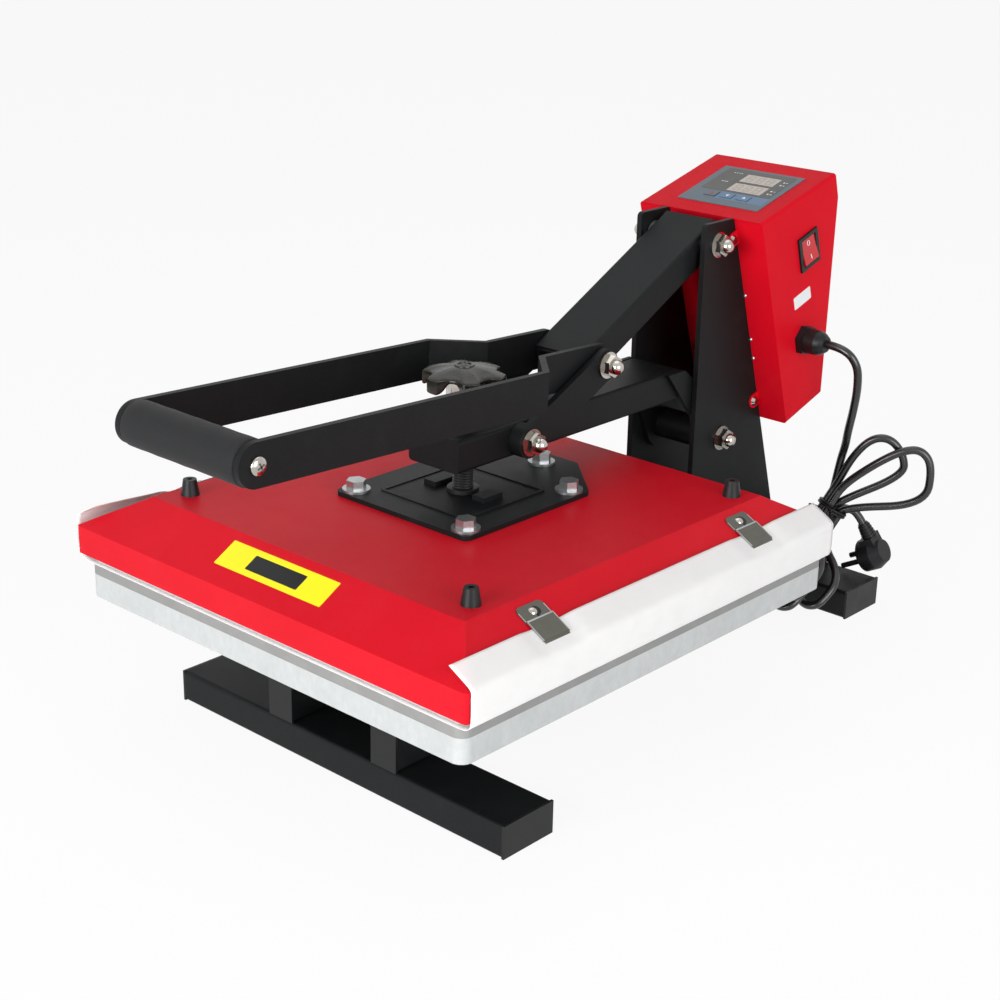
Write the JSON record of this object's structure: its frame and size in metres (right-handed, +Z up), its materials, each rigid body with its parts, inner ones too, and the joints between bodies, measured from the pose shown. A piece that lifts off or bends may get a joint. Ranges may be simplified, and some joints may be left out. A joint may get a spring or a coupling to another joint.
{
  "type": "flat heat press",
  "caption": "Flat clamshell heat press: lever and links press a heated upper platen on a padded lower platen, with a leaning control box and its mains cord.",
  "frame": {"origin": "on the table under the middle of the press's length and width, cord left out", "axes": "+Z up, +Y from the handle towards the control box, +X to the operator's right"},
  "size_m": [0.3982, 0.6906, 0.3792],
  "materials": {
    "black_paint": "satin black powder coat with a fine grain",
    "red_paint": "satin red powder coat with a fine grain",
    "black_plastic": "matte moulded black plastic",
    "zinc": "zinc plated steel",
    "black_steel": "blackened steel",
    "chromed": "polished chrome",
    "clip_steel": "rolled stainless steel",
    "cast_aluminium": "light mottled cast aluminium",
    "element_steel": "oxidised steel sheath",
    "silicone": "smooth grey silicone",
    "rubber_black": "matte black rubber",
    "foam": "fine-pored black foam",
    "panel_film": "satin slate printed polyester film",
    "window_plastic": "pale grey glossy display window",
    "key_plastic": "satin grey-blue film key",
    "board_green": "green solder mask",
    "rocker_red": "glossy red switch plastic",
    "cord_black": "satin black cord sheath",
    "plug_rubber": "satin black moulded plug",
    "glass_wool": "soft glass wool board",
    "ptfe": "smooth white coated glass cloth",
    "knob_plastic": "dark phenolic with a brown-grey sheen"
  },
  "bodies": {
    "frame": {"front_foot": "black_paint", "rear_foot": "black_paint", "tube_end_caps": "black_plastic", "left_rail": "black_paint", "right_rail": "black_paint", "platen_bearers": "black_paint", "bearer_bolts": "zinc", "lower_platen": "cast_aluminium", "silicone_pad": "silicone", "post_base_plate": "black_paint", "left_post_plate": "black_paint", "right_post_plate": "black_paint", "lever_pivot_bolt": "chromed", "arm_pivot_bolt": "chromed", "control_box_shell": "red_paint", "control_box_front": "red_paint", "box_ear_screws": "chromed", "panel_overlay": "panel_film", "display_windows": "window_plastic", "control_board": "board_green", "heater_relay": "black_plastic", "rocker_bezel": "black_plastic", "cord_gland": "black_plastic", "mains_lead": "cord_black", "cord_hank": "cord_black", "cord_tail": "cord_black", "cord_tie": "black_plastic", "mains_plug": "plug_rubber"},
    "key_set_body": {"set_key": "key_plastic"},
    "key_down_body": {"down_key": "key_plastic"},
    "key_up_body": {"up_key": "key_plastic"},
    "rocker_body": {"rocker": "rocker_red"},
    "arm": {"arm_tube": "black_paint", "arm_hinge_plates": "black_paint", "arm_bush": "black_paint", "lower_link_pin": "zinc", "screw_nut": "black_paint"},
    "lever": {"lever_tube": "black_paint", "lever_bush": "zinc", "left_handle_bar": "black_paint", "right_handle_bar": "black_paint", "grip_rod": "zinc", "foam_grip": "foam", "grip_end_screws": "chromed", "upper_link_bolt": "chromed"},
    "link": {"left_link": "black_paint", "right_link": "black_paint", "lower_link_nuts": "chromed"},
    "platen": {"upper_cover": "red_paint", "rubber_bumpers": "rubber_black", "mounting_plate": "black_paint", "mount_bolts": "chromed", "insulation_pad": "glass_wool", "heating_platen": "cast_aluminium", "heating_element": "element_steel", "ptfe_sheet": "ptfe", "sheet_clips": "clip_steel", "clip_screws": "chromed"},
    "screw": {"pressure_screw": "black_steel", "star_knob": "knob_plastic"}
  },
  "joints": [
    {"name": "arm_hinge", "type": "hinge", "parent": "frame", "child": "arm", "pos_m": [0, 0.2009, 0.1675], "axis": [-1, 0, 0], "range_deg": [0, 45]},
    {"name": "lever_hinge", "type": "hinge", "parent": "frame", "child": "lever", "pos_m": [0, 0.1814, 0.334], "axis": [-1, 0, 0], "range_deg": [0, 86]},
    {"name": "link_hinge", "type": "hinge", "parent": "lever", "child": "link", "pos_m": [0, 0.0439, 0.263], "axis": [-1, 0, 0], "range_deg": [-130, 0]},
    {"name": "platen_slide", "type": "slide", "parent": "arm", "child": "platen", "axis": [0, 0, 1], "range_m": [0, 0.008]},
    {"name": "knob_spin", "type": "hinge", "parent": "platen", "child": "screw", "pos_m": [0, -0.0746, 0.263], "axis": [0, 0, 1], "range_deg": [0, 1440]},
    {"name": "rocker_hinge", "type": "hinge", "parent": "frame", "child": "rocker_body", "pos_m": [0.0595, 0.27038, 0.32047], "axis": [0, 0.9532, 0.3024], "range_deg": [0, 16]},
    {"name": "set_press", "type": "slide", "parent": "frame", "child": "key_set_body", "axis": [0, 0.2578, -0.9662], "range_m": [0, 0.0004], "stiffness_N_per_m": 600},
    {"name": "down_press", "type": "slide", "parent": "frame", "child": "key_down_body", "axis": [0, 0.2578, -0.9662], "range_m": [0, 0.0004], "stiffness_N_per_m": 600},
    {"name": "up_press", "type": "slide", "parent": "frame", "child": "key_up_body", "axis": [0, 0.2578, -0.9662], "range_m": [0, 0.0004], "stiffness_N_per_m": 600}
  ],
  "couplings": [
    {"joint": "lever_hinge", "follows": "arm_hinge", "ratio": 1.9104},
    {"joint": "link_hinge", "follows": "arm_hinge", "ratio": -2.8793},
    {"joint": "knob_spin", "follows": "platen_slide", "rad_per_m": 3141.6}
  ]
}
